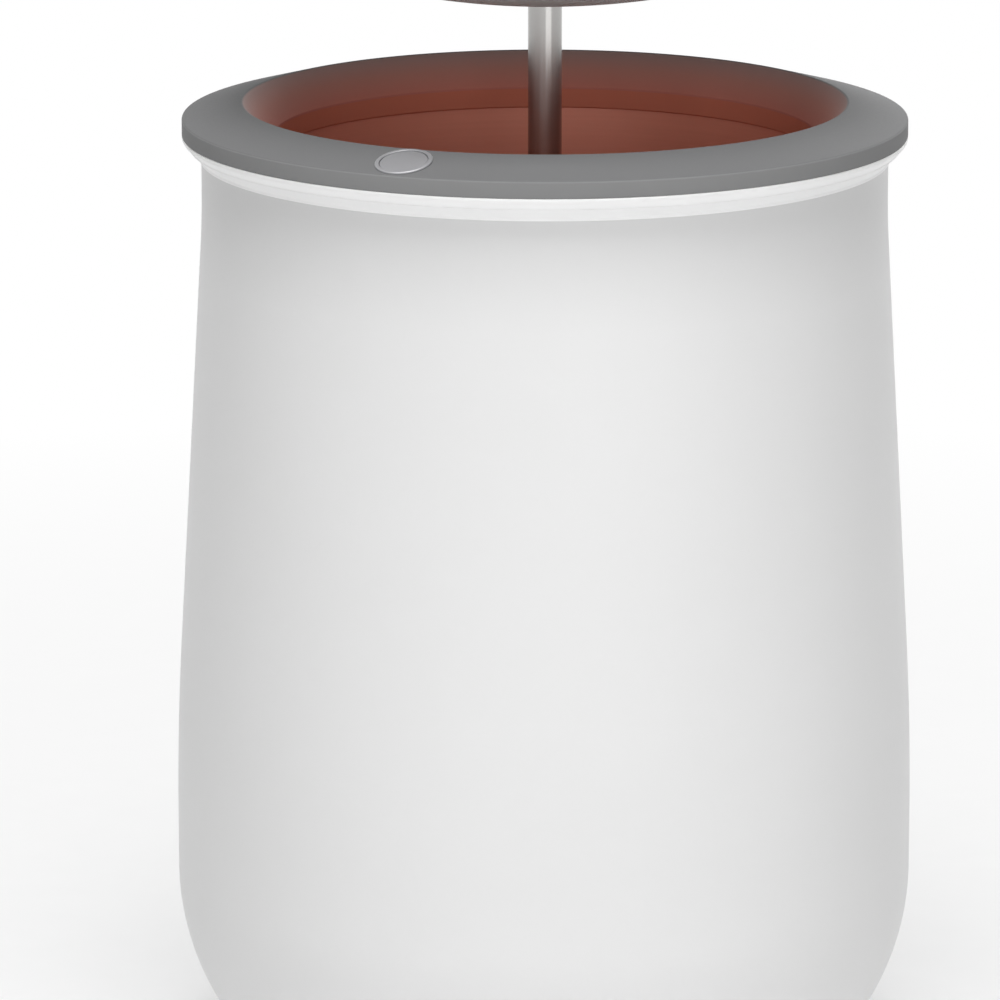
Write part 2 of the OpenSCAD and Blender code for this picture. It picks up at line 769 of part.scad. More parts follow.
// Disc thermostat against the liner's floor, with two terminals
module thermostat() color("#4a4139") {
    cap_d = thermostat_d + 5;
    body_top_z = liner_z - thermostat_cap_t + 0.5;
    terminal_z = body_top_z - thermostat_h + 0.5 - terminal_h;
    translate([0, sensor_r, 0]) {
        translate([0, 0, liner_z - thermostat_cap_t]) cylinder(d = cap_d, h = thermostat_cap_t);
        translate([0, 0, body_top_z - thermostat_h]) cylinder(d = thermostat_d, h = thermostat_h);
        for (x = [-1, 1]) translate([x * thermostat_d / 4, 0, terminal_z])
            translate([-terminal_t / 2, -terminal_w / 2, 0]) cube([terminal_t, terminal_w, terminal_h]);
    }
}

// Thermal fuse held by a clip under the liner's floor
module thermal_fuse() color("#c9a63a") {
    clip_t = 1;
    clip_len = 8;
    translate([-fuse_len / 2, -sensor_r, liner_z - fuse_d / 2 - clip_t / 2]) rotate([0, 90, 0])
        cylinder(d = fuse_d, h = fuse_len);
    translate([-fuse_clip_w / 2, -sensor_r - clip_len / 2, liner_z - clip_t])
        cube([fuse_clip_w, clip_len, clip_t]);
}

module column_base() color("#3d3e40") {
    flange_r = column_base_d / 2;
    translate([0, 0, liner_floor_z]) difference() {
        rotate_extrude() polygon([
            [0, 0], [flange_r, 0], [flange_r, column_flange_t - column_edge],
            [flange_r - column_edge, column_flange_t], [socket_r + socket_foot, column_flange_t],
            [socket_r, column_flange_t + socket_foot], [socket_r, socket_h - column_edge],
            [socket_r - column_edge, socket_h], [0, socket_h]]);
        translate([0, 0, socket_floor]) cylinder(r = guide_r + run_fit, h = socket_h);
        around(column_screws_n, 45) translate([column_screw_r, 0, -over])
            cylinder(d = column_screw_d + screw_slack, h = column_flange_t + 2 * over);
    }
}

module column_backing() color("#a9abad") {
    translate([0, 0, liner_z - backing_t]) difference() {
        cylinder(d = column_base_d, h = backing_t);
        around(column_screws_n, 45) translate([column_screw_r, 0, -over])
            cylinder(r = column_screw_d / 2 + run_fit, h = backing_t + 2 * over);
    }
}

module column_screws() color("#8f9194") {
    around(column_screws_n, 45) translate([column_screw_r, 0, liner_floor_z + column_flange_t])
        mirror([0, 0, 1]) screw(column_screw_d, column_flange_t + liner_wall + backing_t,
            column_screw_head_d, column_screw_head_h);
}

// Tube that guides the rod, with a slot for the stop's key
module guide_tube() color("#b9bbbd") {
    difference() {
        translate([0, 0, guide_low_z]) ring(guide_r, guide_in_r, guide_top_z - guide_low_z);
        translate([guide_in_r - over, -key_slot_w / 2, key_slot_low_z])
            cube([guide_wall + 2 * over, key_slot_w, bush_low_z - key_slot_low_z]);
    }
}

module guide_bush() color("#e4e2da") {
    difference() {
        union() {
            translate([0, 0, bush_low_z]) cylinder(r = guide_in_r - run_fit, h = bush_len);
            translate([0, 0, guide_top_z]) cylinder(r = guide_r, h = bush_flange_t);
        }
        translate([0, 0, bush_low_z - over])
            cylinder(r = rod_r + run_fit, h = bush_len + bush_flange_t + 2 * over);
    }
}

module power_board() color("#3c6b46") {
    difference() {
        translate([-power_x / 2, -power_y / 2, board_z]) cube([power_x, power_y, board_t]);
        at_power_posts() translate([0, 0, board_z - over])
            cylinder(d = power_screw_d + screw_slack, h = board_t + 2 * over);
    }
}

module power_relay() color("#2f5f9e") {
    translate([relay_place[0], relay_place[1], board_face_z]) cube([relay_len, relay_w, relay_h]);
}

module power_capacitor() color("#30343c") {
    for (x = capacitor_xs) translate([x, capacitor_y, board_face_z])
        cylinder(d = capacitor_d, h = capacitor_h);
}

module terminal_block() color("#4d9a57") {
    pitch = block_len / block_ways;
    translate([-block_len / 2, power_y / 2 - block_inset - block_w, board_face_z]) difference() {
        cube([block_len, block_w, block_h]);
        for (i = [0:block_ways - 1])
            translate([(i + 0.5) * pitch, block_w / 2, block_h - block_hole_depth])
                cylinder(d = block_hole_d, h = block_hole_depth + over);
    }
}

module power_board_screws() color("#8f9194") {
    at_power_posts() translate([0, 0, board_face_z]) mirror([0, 0, 1])
        screw(power_screw_d, board_t + power_screw_depth, power_screw_head_d, power_screw_head_h);
}

module button_bezel() color("#c3c4c7") {
    well_r = cap_d / 2 + cap_gap;
    floor_top = bezel_floor - bezel_depth;
    lip_r = bezel_d / 2;
    at_button() difference() {
        rotate_extrude() polygon([
            [0, -bezel_depth], [bezel_body_d / 2, -bezel_depth], [bezel_body_d / 2, 0], [lip_r, 0],
            [lip_r, bezel_lip_t * 0.4], [lip_r - 0.7, bezel_lip_t],
            [well_r + bezel_chamfer, bezel_lip_t], [well_r, bezel_lip_t - bezel_chamfer],
            [well_r, floor_top], [0, floor_top]]);
        translate([0, 0, -bezel_depth - over]) cylinder(r = stem_r + stem_fit, h = bezel_floor + 2 * over);
    }
}

// Button with a stem through the bezel and a retaining lip under its floor
module power_button() color("#b4b5b9") {
    stem_lip_r = stem_r + stem_lip_w;
    lip_top = -bezel_depth - cap_gap;
    cap_r = cap_d / 2;
    at_button() rotate_extrude() polygon([
        [0, stem_low], [stem_lip_r - 0.5, stem_low], [stem_lip_r, lip_top - 0.5],
        [stem_lip_r, lip_top], [stem_r, lip_top], [stem_r, cap_top - cap_t],
        [cap_r, cap_top - cap_t], [cap_r, cap_top - cap_edge], [cap_r - cap_edge, cap_top], [0, cap_top]]);
}

module switch_plunger() color("#1f1f21") {
    at_button() translate([0, 0, stem_low - plunger_len]) cylinder(r = plunger_r, h = plunger_len);
}

module switch_body() color("#2b2b2d") {
    at_button() difference() {
        translate([-switch_w / 2, -switch_w / 2, board_top]) cube([switch_w, switch_w, switch_h]);
        translate([0, 0, stem_low - plunger_len - press - cap_gap])
            cylinder(r = plunger_r + run_fit, h = switch_h + over);
    }
}

module button_board() color("#3c6b46") {
    difference() {
        at_button() translate([-board_len / 2, -board_w / 2, board_top - board_t])
            cube([board_len, board_w, board_t]);
        at_button_posts() translate([0, 0, board_top - board_t - over])
            cylinder(d = board_screw_d + screw_slack, h = board_t + 2 * over);
    }
}

module button_board_screws() color("#8f9194") {
    at_button_posts() translate([0, 0, board_top - board_t])
        screw(board_screw_d, board_t + board_screw_depth, board_screw_head_d, board_screw_head_h);
}

module button_lead() color("#8c2f2a") {
    translate([lead_x, lead_y, lead_low_z]) {
        sphere(d = lead_d);
        cylinder(d = lead_d, h = lead_high_z - lead_low_z);
        rotate([-90, 0, 0]) cylinder(d = lead_d, h = lead_foot_y - lead_y);
    }
    translate([lead_x, lead_y, lead_high_z]) {
        sphere(d = lead_d);
        rotate([0, -90, 0]) cylinder(d = lead_d, h = lead_x - board_len / 2 - seat_gap);
    }
    translate([lead_x, lead_foot_y, lead_low_z]) sphere(d = lead_d);
    translate([lead_x, lead_foot_y, board_face_z]) cylinder(d = lead_d, h = lead_low_z - board_face_z);
}

// Rod with a stud for the lid, and a bore from below
module lift_rod() color("#c9cacc") {
    stud_top_z = knob_low_z + knob_stud_depth;
    difference() {
        union() {
            translate([0, 0, rod_low_z]) cylinder(r = rod_r, h = dish_low_z - rod_low_z);
            translate([0, 0, dish_low_z - over]) cylinder(d = stud_d, h = stud_top_z - dish_low_z + over);
        }
        translate([0, 0, rod_low_z - over])
            cylinder(r = rod_r - rod_wall, h = dish_low_z - rod_low_z - rod_solid_len + over);
        stop_pin_hole();
    }
}

module stop_pin_hole() {
    translate([-rod_d, 0, stop_mid_z]) rotate([0, 90, 0]) cylinder(r = pin_d / 2 + run_fit, h = 2 * rod_d);
}

// Stop ring with a key that runs in the guide tube's slot
module rod_stop() color("#e4e2da") {
    difference() {
        union() {
            translate([0, 0, rod_low_z]) cylinder(r = stop_r, h = stop_len);
            translate([key_in_r, -key_w / 2, rod_low_z + key_end])
                cube([key_out_r - key_in_r, key_w, stop_len - 2 * key_end]);
        }
        translate([0, 0, rod_low_z - over]) cylinder(r = rod_r + run_fit, h = stop_len + 2 * over);
        stop_pin_hole();
    }
}

module stop_pin() color("#8f9194") {
    pin_r = stop_r - pin_end_gap;
    translate([-pin_r, 0, stop_mid_z]) rotate([0, 90, 0]) cylinder(d = pin_d, h = 2 * pin_r);
}

// Dished underside of the lid, with the step that holds the seal
module lid_pan() color("#6a6868") {
    in_r = dish_r - pan_wall;
    low_angle = asin(stud_hole_r / dish_r) - 90;
    rim_angle = asin(pan_rim_r / dish_r) - 90;
    top_angle = asin((pan_rim_r - pan_wall) / in_r) - 90;
    rotate_extrude($fn = 128) polygon(concat(
        arc_points([0, dish_centre_z], dish_r, low_angle, rim_angle, 12),
        [[pan_rim_r, lid_flange_z], [pan_flange_r, lid_flange_z], [pan_flange_r, lid_flange_z + pan_wall]],
        [[pan_rim_r - pan_wall, lid_flange_z + pan_wall]],
        arc_points([0, dish_centre_z], in_r, top_angle, low_angle, 12)));
}

module lid_hub() color("#e4e2da") {
    flange_top_z = hub_low_z + hub_flange_t;
    difference() {
        rotate_extrude() polygon([
            [0, hub_low_z], [hub_flange_r, hub_low_z], [hub_flange_r, flange_top_z],
            [hub_r + hub_fillet, flange_top_z], [hub_r, flange_top_z + hub_fillet],
            [hub_r, hub_top_z], [0, hub_top_z]]);
        translate([0, 0, hub_low_z - over])
            cylinder(r = stud_d / 2 + run_fit, h = hub_top_z - hub_low_z + 2 * over);
    }
}

module lid_insulation() color("#e9e2c8") {
    foam_in_r = hub_flange_r + foam_in_gap;
    foam_out_r = pan_rim_r - foam_out_gap;
    low_r = dish_r - pan_wall - seat_gap;
    high_r = dome_r - cover_wall - seat_gap;
    low_angles = [asin(foam_in_r / low_r) - 90, asin(foam_out_r / low_r) - 90];
    high_angles = [90 - asin(foam_out_r / high_r), 90 - asin(foam_in_r / high_r)];
    rotate_extrude() polygon(concat(
        arc_points([0, dish_centre_z], low_r, low_angles[0], low_angles[1], 8),
        arc_points([0, dome_centre_z], high_r, high_angles[0], high_angles[1], 8)));
}

// Domed cover with an upright side round the lid
module lid_cover() color("#808183") {
    edge_angle = 90 - asin(dome_chord_r / dome_r);
    under_r = dome_r - cover_wall;
    side_in_r = lid_r - cover_wall;
    under_angle = 90 - asin((side_in_r - cover_lap) / under_r);
    rotate_extrude($fn = 128) polygon(concat(
        [[side_in_r, cover_low_z], [lid_r - cover_chamfer, cover_low_z]],
        [[lid_r, cover_low_z + cover_chamfer]],
        arc_points([lid_r - cover_edge_r, cover_side_z - cover_edge_r], cover_edge_r, 0, edge_angle - 12, 3),
        arc_points([0, dome_centre_z], dome_r, edge_angle + 1, 90 - asin(stud_hole_r / dome_r), 12),
        arc_points([0, dome_centre_z], under_r, 90 - asin(stud_hole_r / under_r), under_angle, 12),
        [[side_in_r, dome_centre_z + under_r * sin(under_angle) - cover_lap]]));
}

module lid_seal() color("#55565a") {
    translate([0, 0, seal_low_z]) rotate_extrude() polygon([
        [seal_in_r, seal_bevel], [seal_in_r + seal_bevel, 0], [seal_out_r - seal_bevel, 0],
        [seal_out_r, seal_bevel], [seal_out_r, seal_h], [seal_in_r, seal_h]]);
}

// Turned knob with a drawn-in waist, over the end of the stud
module lid_knob() color("#c3c4c7") {
    base_r = knob_r * 0.62;
    waist_r = knob_r * 0.52;
    waist_arc_r = knob_h * 0.55;
    foot_t = 1.5;
    edge = 1;
    translate([0, 0, knob_low_z]) difference() {
        rotate_extrude() polygon(concat(
            [[0, 0], [base_r, 0], [base_r, foot_t]],
            arc_points([waist_r + waist_arc_r, knob_h * 0.33], waist_arc_r, 200, 145, 6),
            [[knob_r - edge, knob_h * 0.72], [knob_r, knob_h * 0.76], [knob_r, knob_h - 2 * edge]],
            [[knob_r - 1.5 * edge, knob_h - edge / 2], [knob_r - 3 * edge, knob_h], [0, knob_h]]));
        translate([0, 0, -over])
            cylinder(r = stud_d / 2 + run_fit, h = knob_stud_depth + knob_bore_end + over);
    }
}

outer_shell();
base_plate();
base_screws();
rubber_feet();
cord_gland();
collar();
collar_screws();
inner_liner();
liner_gasket();
heater_film();
insulation_sleeve();
floor_insulation();
thermostat();
thermal_fuse();
column_base();
column_backing();
column_screws();
guide_tube();
guide_bush();
power_board();
power_relay();
power_capacitor();
terminal_block();
power_board_screws();
button_bezel();
button_board();
switch_body();
button_board_screws();
button_lead();
power_button();
switch_plunger();
lift_rod();
rod_stop();
stop_pin();
lid_pan();
lid_hub();
lid_insulation();
lid_cover();
lid_seal();
lid_knob();
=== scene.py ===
import json
import math

import bmesh
import bpy
from mathutils import Matrix, Vector


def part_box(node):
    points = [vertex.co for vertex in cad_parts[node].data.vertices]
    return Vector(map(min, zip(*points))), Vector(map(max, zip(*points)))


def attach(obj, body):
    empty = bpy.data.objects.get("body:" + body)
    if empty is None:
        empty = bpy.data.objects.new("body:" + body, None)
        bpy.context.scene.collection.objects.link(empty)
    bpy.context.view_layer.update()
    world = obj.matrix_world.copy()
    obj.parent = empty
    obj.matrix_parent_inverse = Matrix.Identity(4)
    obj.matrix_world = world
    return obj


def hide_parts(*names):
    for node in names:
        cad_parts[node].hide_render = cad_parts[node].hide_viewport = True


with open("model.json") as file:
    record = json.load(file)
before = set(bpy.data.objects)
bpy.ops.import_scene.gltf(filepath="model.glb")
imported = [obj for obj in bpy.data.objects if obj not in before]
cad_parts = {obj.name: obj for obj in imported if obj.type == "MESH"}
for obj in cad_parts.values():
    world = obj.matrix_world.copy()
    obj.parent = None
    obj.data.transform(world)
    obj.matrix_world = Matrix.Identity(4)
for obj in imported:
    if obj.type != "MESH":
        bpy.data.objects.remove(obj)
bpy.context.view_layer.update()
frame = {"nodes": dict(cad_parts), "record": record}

record = frame["record"]
SLOT_OF = {part["node"]: part["material_slot"] for part in record["subparts"]}
BODY_OF = {node: body for body, nodes in record["behaviour"]["bodies"].items() for node in nodes}

# Sizes of the object in metres, the same as in the CAD model
RIM_Z = 0.400
COLLAR_R = 0.150
CREST_R = 0.125
MOUTH_R = 0.112
COLLAR_RISE = 0.0066
COLLAR_SIDE = 0.007
FUNNEL_DROP = 0.0147
SKIRT_H = 0.0084
TONGUE_IN_R = 0.1447
TONGUE_OUT_R = 0.1467
TONGUE_H = 0.003
RIM_W = 0.003
DECK_DEPTH = 0.005
DECK_R = 0.121
NECK_R = 0.142
NECK_H = 0.02447
NECK_BEND = 0.020
WALL = 0.003
TAPER = math.radians(3.2)
TAPER_LOW_Z = 0.170
BELLY_Z = 0.100
TURN_Z = 0.075
TURN_R = 0.108
TURN = math.radians(30)
FOOT_H = 0.0065
RING_W = 0.006
LEDGE_W = 0.012
PLATE_T = 0.003
BUTTON_R = 0.1375
GLAND_FLANGE_R = 0.011
GLAND_FLANGE_T = 0.003
LINER_GAP = 0.002
LINER_CORNER_R = 0.014
LINER_WALL = 0.0012
SEAL_HALF_W = 0.0025
DISH_R = 0.318
DISH_STEP = 0.0011
PAN_WALL = 0.0016
COVER_WALL = 0.0025
COVER_SIDE = 0.009
DOME_RISE = 0.019
STUD_HOLE_R = 0.0052
SEAT_GAP = 0.0003

# The lip as the photo shows it: its foot is about 3 mm higher than in the CAD model
LIP_H = 0.0004
LIP_R = 0.003
LIP_FOOT = 0.0103

SIDE_TOP_Z = RIM_Z - COLLAR_RISE
SHELL_TOP_Z = SIDE_TOP_Z - COLLAR_SIDE
LIP_FOOT_Z = SHELL_TOP_Z - LIP_FOOT
DECK_Z = SHELL_TOP_Z - DECK_DEPTH
FUNNEL_LOW_Z = RIM_Z - FUNNEL_DROP
SLOPE = math.atan2(COLLAR_RISE, COLLAR_R - CREST_R)
FUNNEL_SLOPE = math.atan2(FUNNEL_DROP, CREST_R - MOUTH_R)
BUTTON_Z = SIDE_TOP_Z + (COLLAR_R - BUTTON_R) * math.tan(SLOPE)

# Sides of a full turn
SEGMENTS = 256

# Camera at the photograph's viewing angle, found by fitting the collar and the body's outline
CAMERA_DISTANCE = 3.0
CAMERA_HEIGHT = 0.925
CAMERA_AZIMUTH = 24
CAMERA_PITCH = math.radians(13.04)
FOCAL_PIXELS = 7363
AXIS_PIXEL_X = 545.5
IMAGE_SIZE = 1000

# Soft boxes: name, azimuth, distance from the axis, height, width and length, radiance
LAMPS = (
    ("above", 22, 0.6, 2.50, (1.3, 1.4), 9.6),
    ("front", 14, 2.6, 0.90, (2.4, 0.9), 2.05),
    ("right", 48, 1.7, 0.40, (1.2, 0.76), 1.1),
    ("back", 182, 2.4, 0.95, (1.6, 1.4), 1.7),
)
LAMP_AIM_Z = 0.30
WORLD_LIGHT = 0.18


def at_azimuth(azimuth, distance, height):
    """A place round the object; azimuth 0 is in front of the button, 90 to its right."""
    a = math.radians(azimuth)
    return (distance * math.sin(a), -distance * math.cos(a), height)


def add_camera():
    data = bpy.data.cameras.new("camera")
    data.sensor_width = 36
    data.lens = FOCAL_PIXELS * data.sensor_width / IMAGE_SIZE
    data.clip_start = 0.1
    data.clip_end = 50
    camera = bpy.data.objects.new("camera", data)
    bpy.context.scene.collection.objects.link(camera)
    camera.location = at_azimuth(CAMERA_AZIMUTH, CAMERA_DISTANCE, CAMERA_HEIGHT)
    pan = math.atan2(AXIS_PIXEL_X - IMAGE_SIZE / 2, FOCAL_PIXELS)
    camera.rotation_euler = (math.radians(90) - CAMERA_PITCH, 0, math.radians(CAMERA_AZIMUTH) + pan)
    bpy.context.scene.camera = camera


# Outlines, as lists of (r, z) points

def arc(centre, radius, start, end, steps):
    """Points on an arc about centre, angles in degrees."""
    points = []
    for i in range(steps + 1):
        a = math.radians(start + (end - start) * i / steps)
        points.append((centre[0] + radius * math.cos(a), centre[1] + radius * math.sin(a)))
    return points


def line(p, q, steps):
    """Points from p up to, and without, q."""
    along_r, along_z = q[0] - p[0], q[1] - p[1]
    return [(p[0] + along_r * i / steps, p[1] + along_z * i / steps) for i in range(steps)]


def bar(radius, low, high):
    """The outline of a round bar on the axis."""
    return [(0, low), (radius, low), (radius, high), (0, high)]


def lean(r, radius):
    """The angle from the axis, in degrees, at which an arc about it passes r."""
    return math.degrees(math.asin(r / radius))


def rounded(corners, steps=6):
    """A closed outline through corners (r, z, radius), each one rounded by its radius."""
    points = []
    for i, (r, z, radius) in enumerate(corners):
        if not radius:
            points.append((r, z))
            continue
        here = Vector((r, z))
        back = (Vector(corners[i - 1][:2]) - here).normalized()
        ahead = (Vector(corners[(i + 1) % len(corners)][:2]) - here).normalized()
        half = back.angle(ahead) / 2
        centre = here + (back + ahead).normalized() * radius / math.sin(half)
        first = here + back * radius / math.tan(half) - centre
        last = here + ahead * radius / math.tan(half) - centre
        start = math.degrees(math.atan2(first.y, first.x))
        turn = (math.degrees(math.atan2(last.y, last.x)) - start + 180) % 360 - 180
        points += arc(centre, radius, start, start + turn, steps)
    return points


# Meshes

def smooth(mesh, sharp):
    for polygon in mesh.polygons:
        polygon.use_smooth = True
    mesh.set_sharp_from_angle(angle=math.radians(sharp))


def finish_mesh(name, bm, sharp):
    bmesh.ops.remove_doubles(bm, verts=bm.verts, dist=1e-7)
    bmesh.ops.recalc_face_normals(bm, faces=bm.faces)
    mesh = bpy.data.meshes.new(name)
    bm.to_mesh(mesh)
    bm.free()
    smooth(mesh, sharp)
    obj = bpy.data.objects.new(name, mesh)
    bpy.context.scene.collection.objects.link(obj)
    return obj


def turn_outline(bm, outline, segments, place):
    """Adds a closed outline turned about Z, then moved to its place."""
    rings = []
    for r, z in outline:
        if r < 1e-7:
            rings.append([bm.verts.new(place @ Vector((0, 0, z)))])
            continue
        angles = [2 * math.pi * i / segments for i in range(segments)]
        points = [Vector((r * math.cos(a), r * math.sin(a), z)) for a in angles]
        rings.append([bm.verts.new(place @ point) for point in points])
    for ring, other in zip(rings, rings[1:] + rings[:1]):
        if len(ring) == 1 and len(other) == 1:
            continue
        for i in range(segments):
            j = (i + 1) % segments
            if len(ring) == 1:
                bm.faces.new((ring[0], other[i], other[j]))
            elif len(other) == 1:
                bm.faces.new((ring[i], other[0], ring[j]))
            else:
                bm.faces.new((ring[i], other[i], other[j], ring[j]))


def lathe(name, outline, segments=SEGMENTS, sharp=32, places=(Matrix(),)):
    """One closed mesh: an outline turned about Z, at each of its places."""
    bm = bmesh.new()
    for place in places:
        turn_outline(bm, outline, segments, place)
    return finish_mesh(name, bm, sharp)


def cut(obj, cutter, sharp=32):
    """Takes cutter's shape out of obj, and removes the cutter."""
    boolean = obj.modifiers.new("cut", "BOOLEAN")
    boolean.operation = "DIFFERENCE"
    boolean.solver = "EXACT"
    boolean.object = cutter
    graph = bpy.context.evaluated_depsgraph_get()
    mesh = bpy.data.meshes.new_from_object(obj.evaluated_get(graph))
    obj.modifiers.clear()
    obj.data = mesh
    bpy.data.objects.remove(cutter)
    smooth(mesh, sharp)


def drill(obj, radius, low, high, places, segments=96):
    """Takes a round bar out of obj, at each of its places."""
    cut(obj, lathe("drill", bar(radius, low, high), segments, places=places))


def stand_for(obj, node):
    """Puts a piece in the place of a CAD node, on its body and with its material."""
    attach(obj, BODY_OF[node])
    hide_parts(node)
    obj.data.materials.clear()
    obj.data.materials.append(MATERIALS[SLOT_OF[node]])


def button_frame():
    """The frame whose z is square to the collar's sloped top, at the button."""
    return Matrix.Translation((0, -BUTTON_R, BUTTON_Z)) @ Matrix.Rotation(SLOPE, 4, "X")


def gland_frame():
    """The frame whose z points out through the back, at the gland's seat."""
    low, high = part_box("cord_gland")
    return (Matrix.Translation((0, high.y - GLAND_FLANGE_T, (low.z + high.z) / 2))
            @ Matrix.Rotation(math.radians(-90), 4, "X"))


def ring_of_places(count, radius, start):
    turns = [Matrix.Rotation(math.radians(start + 360 * i / count), 4, "Z") for i in range(count)]
    return [turn @ Matrix.Translation((radius, 0, 0)) for turn in turns]


# Materials

def grey(level):
    return (level, level, level)


def tone(colour, factor):
    return tuple(min(1.0, c * factor) for c in colour)


class Shader:
    """A procedural material around one Principled shader."""

    def __init__(self, name, **values):
        self.material = bpy.data.materials.new(name)
        self.material.use_nodes = True
        self.nodes = self.material.node_tree.nodes
        self.links = self.material.node_tree.links
        self.surface = self.nodes["Principled BSDF"]
        for key, value in values.items():
            self.surface.inputs[key.replace("_", " ")].default_value = value
        self.coords = self.add("ShaderNodeTexCoord").outputs["Object"]

    def add(self, kind, **settings):
        node = self.nodes.new(kind)
        for key, value in settings.items():
            setattr(node, key, value)
        return node

    def feed(self, node, name, value):
        if isinstance(value, bpy.types.NodeSocket):
            self.links.new(value, node.inputs[name])
        else:
            node.inputs[name].default_value = value

    def set(self, name, value):
        self.feed(self.surface, name, value)

    def noise(self, scale, detail=2.0, rough=0.5, stretch=(1, 1, 1)):
        mapping = self.add("ShaderNodeMapping")
        self.feed(mapping, "Vector", self.coords)
        self.feed(mapping, "Scale", stretch)
        node = self.add("ShaderNodeTexNoise")
        self.feed(node, "Vector", mapping.outputs["Vector"])
        self.feed(node, "Scale", scale)
        self.feed(node, "Detail", detail)
        self.feed(node, "Roughness", rough)
        return node.outputs["Fac"]

    def ramp(self, factor, stops):
        node = self.add("ShaderNodeValToRGB")
        self.feed(node, "Fac", factor)
        elements = node.color_ramp.elements
        while len(elements) < len(stops):
            elements.new(0.5)
        for element, (position, colour) in zip(elements, stops):
            element.position = position
            element.color = (*colour, 1)
        return node.outputs["Color"]

    def blend(self, factor, dark, light, margin=0.3):
        """From dark to light over the middle of a noise, which seldom comes near 0 or 1."""
        return self.ramp(factor, [(margin, dark), (1 - margin, light)])

    def remap(self, factor, low, high, to_low, to_high):
        node = self.add("ShaderNodeMapRange")
        for name, value in (("Value", factor), ("From Min", low), ("From Max", high),
                            ("To Min", to_low), ("To Max", to_high)):
            self.feed(node, name, value)
        return node.outputs["Result"]

    def spread(self, factor, low, high, margin=0.3):
        """From low to high over the middle of a noise."""
        return self.remap(factor, margin, 1 - margin, low, high)

    def mix(self, factor, a, b):
        node = self.add("ShaderNodeMix", data_type="RGBA")
        self.feed(node, 0, factor)
        self.feed(node, 6, a)
        self.feed(node, 7, b)
        return node.outputs[2]

    def height(self):
        node = self.add("ShaderNodeSeparateXYZ")
        self.feed(node, "Vector", self.coords)
        return node.outputs["Z"]

    def radius(self):
        flat = self.add("ShaderNodeVectorMath", operation="MULTIPLY")
        self.feed(flat, 0, self.coords)
        self.feed(flat, 1, (1, 1, 0))
        length = self.add("ShaderNodeVectorMath", operation="LENGTH")
        self.feed(length, 0, flat.outputs["Vector"])
        return length.outputs["Value"]

    def bump(self, height, strength, distance):
        node = self.add("ShaderNodeBump")
        self.feed(node, "Height", height)
        self.feed(node, "Strength", strength)
        self.feed(node, "Distance", distance)
        self.set("Normal", node.outputs["Normal"])

    def seen(self):
        """1 for the rays that show a surface, and 0 for those that light another one."""
        return seen_rays(self.nodes, self.links)


def seen_rays(nodes, links):
    paths = nodes.new("ShaderNodeLightPath")
    value = paths.outputs["Is Camera Ray"]
    for name in ("Is Glossy Ray", "Is Transmission Ray"):
        either = nodes.new("ShaderNodeMath")
        either.operation = "MAXIMUM"
        links.new(value, either.inputs[0])
        links.new(paths.outputs[name], either.inputs[1])
        value = either.outputs[0]
    return value


def moulded(name, colour, roughness, grain=900, depth=0.00004, vary=0.03):
    """Moulded plastic: a fine grain in the surface and faint cloudy changes of tone."""
    s = Shader(name, Specular_IOR_Level=0.3)
    s.set("Base Color", s.blend(s.noise(6, 3), tone(colour, 1 - vary), tone(colour, 1 + vary)))
    fine = s.noise(grain, 2, 0.6)
    s.set("Roughness", s.spread(fine, roughness - 0.04, roughness + 0.05))
    s.bump(fine, 0.35, depth)
    return s.material


def shell_finish():
    """White moulded plastic, with painted shade that darkens the neck under the lip and a painted
    highlight that lightens the lip and its bead.
    """
    s = Shader("white_shell", Specular_IOR_Level=0.3)
    shade_h, step = 0.045, 0.0001
    wall = s.blend(s.noise(6, 3), grey(0.805), grey(0.815))
    # Painted shade: the neck is painted darker over 45 mm under the lip's foot, darkest at the
    # foot, where the lip shades it.
    shade = s.remap(s.height(), LIP_FOOT_Z - shade_h, LIP_FOOT_Z, 0, 1)
    neck = s.mix(shade, wall, (*grey(0.74), 1))
    # Painted highlight: the lip is painted lighter than the wall, lightest on its upright band and
    # on the bead at its foot.
    lip = s.ramp(s.remap(s.height(), LIP_FOOT_Z, SHELL_TOP_Z, 0, 1),
                 [(0.10, grey(0.95)), (0.16, grey(0.90)), (0.52, grey(0.90)), (0.64, grey(0.95))])
    lip_highlight_mask = s.remap(s.height(), LIP_FOOT_Z, LIP_FOOT_Z + step, 0, 1)
    s.set("Base Color", s.mix(lip_highlight_mask, neck, lip))
    fine = s.noise(420, 2, 0.6)
    s.set("Roughness", s.spread(fine, 0.31, 0.38))
    s.bump(fine, 0.35, 0.00002)
    return s.material


def drawn_metal(name, colour, roughness, stretch, scale, depth=0.00001):
    """Metal with faint marks along the way it was drawn or turned."""
    s = Shader(name, Metallic=1.0)
    marks = s.noise(scale, 3, 0.6, stretch)
    s.set("Base Color", s.blend(marks, tone(colour, 0.96), tone(colour, 1.04), 0.25))
    s.set("Roughness", s.spread(marks, roughness - 0.03, roughness + 0.04, 0.2))
    s.bump(marks, 0.15, depth)
    return s.material


def plain(name, colour, roughness=0.5, metallic=0.0):
    """Small inner parts: tone and roughness vary a little."""
    s = Shader(name, Metallic=metallic)
    spots = s.noise(120, 3)
    s.set("Base Color", s.blend(spots, tone(colour, 0.88), tone(colour, 1.1)))
    s.set("Roughness", s.spread(spots, roughness - 0.06, roughness + 0.06))
    s.bump(spots, 0.2, 0.00005)
    return s.material


def fibre(name, colour):
    """Needled fibre: deep, tangled threads."""
    s = Shader(name, Roughness=0.95)
    threads = s.noise(260, 6, 0.7, (1, 1, 2.5))
    s.set("Base Color", s.blend(threads, tone(colour, 0.7), tone(colour, 1.1)))
    s.bump(threads, 0.8, 0.0006)
    return s.material


